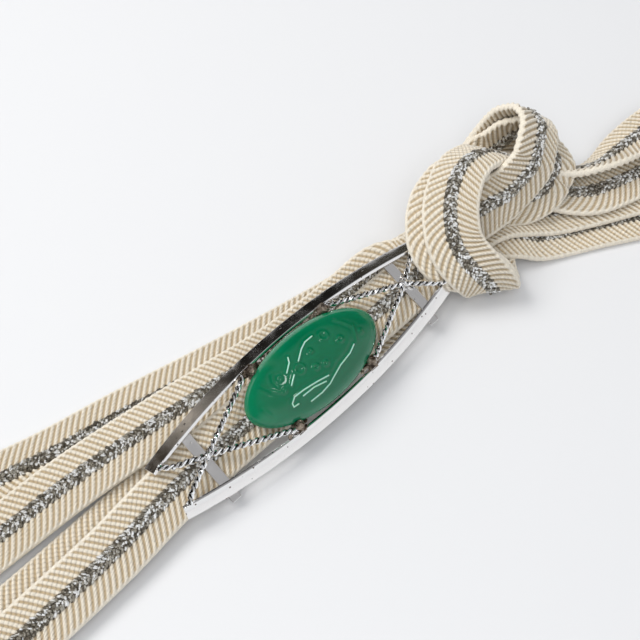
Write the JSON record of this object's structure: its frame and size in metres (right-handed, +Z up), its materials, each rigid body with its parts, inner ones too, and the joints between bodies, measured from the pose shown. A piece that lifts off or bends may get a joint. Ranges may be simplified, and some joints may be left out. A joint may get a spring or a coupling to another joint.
{
  "type": "obidome with obi cord",
  "caption": "Silver openwork obidome with a carved green cabochon, threaded on a flat cream braided obi cord tied in a loop knot and laid on a table",
  "frame": {"origin": "on the table, on the flat underside of the cord's lowest strand, under the middle of the slide", "axes": "+X along the slide and the cord towards the knot and the right-hand bend, +Y to the slide's raised far rail, +Z up from the table"},
  "size_m": [0.1704, 0.0607, 0.0179],
  "materials": {
    "silver": "polished",
    "stone": "polished",
    "braid": "plain"
  },
  "bodies": {
    "root": {"openwork_slide": "silver", "cabochon": "stone", "cord_threaded": "braid", "cord_loop_outer": "braid", "cord_wrap_outer": "braid", "cord_tail_outer": "braid", "cord_bend_right": "braid", "cord_side_strand": "braid", "cord_bend_left": "braid", "cord_middle_strand": "braid", "cord_loop_inner": "braid", "cord_wrap_inner": "braid", "cord_tail_inner": "braid", "cord_fold_right": "braid", "cord_under_strand": "braid"}
  },
  "joints": []
}
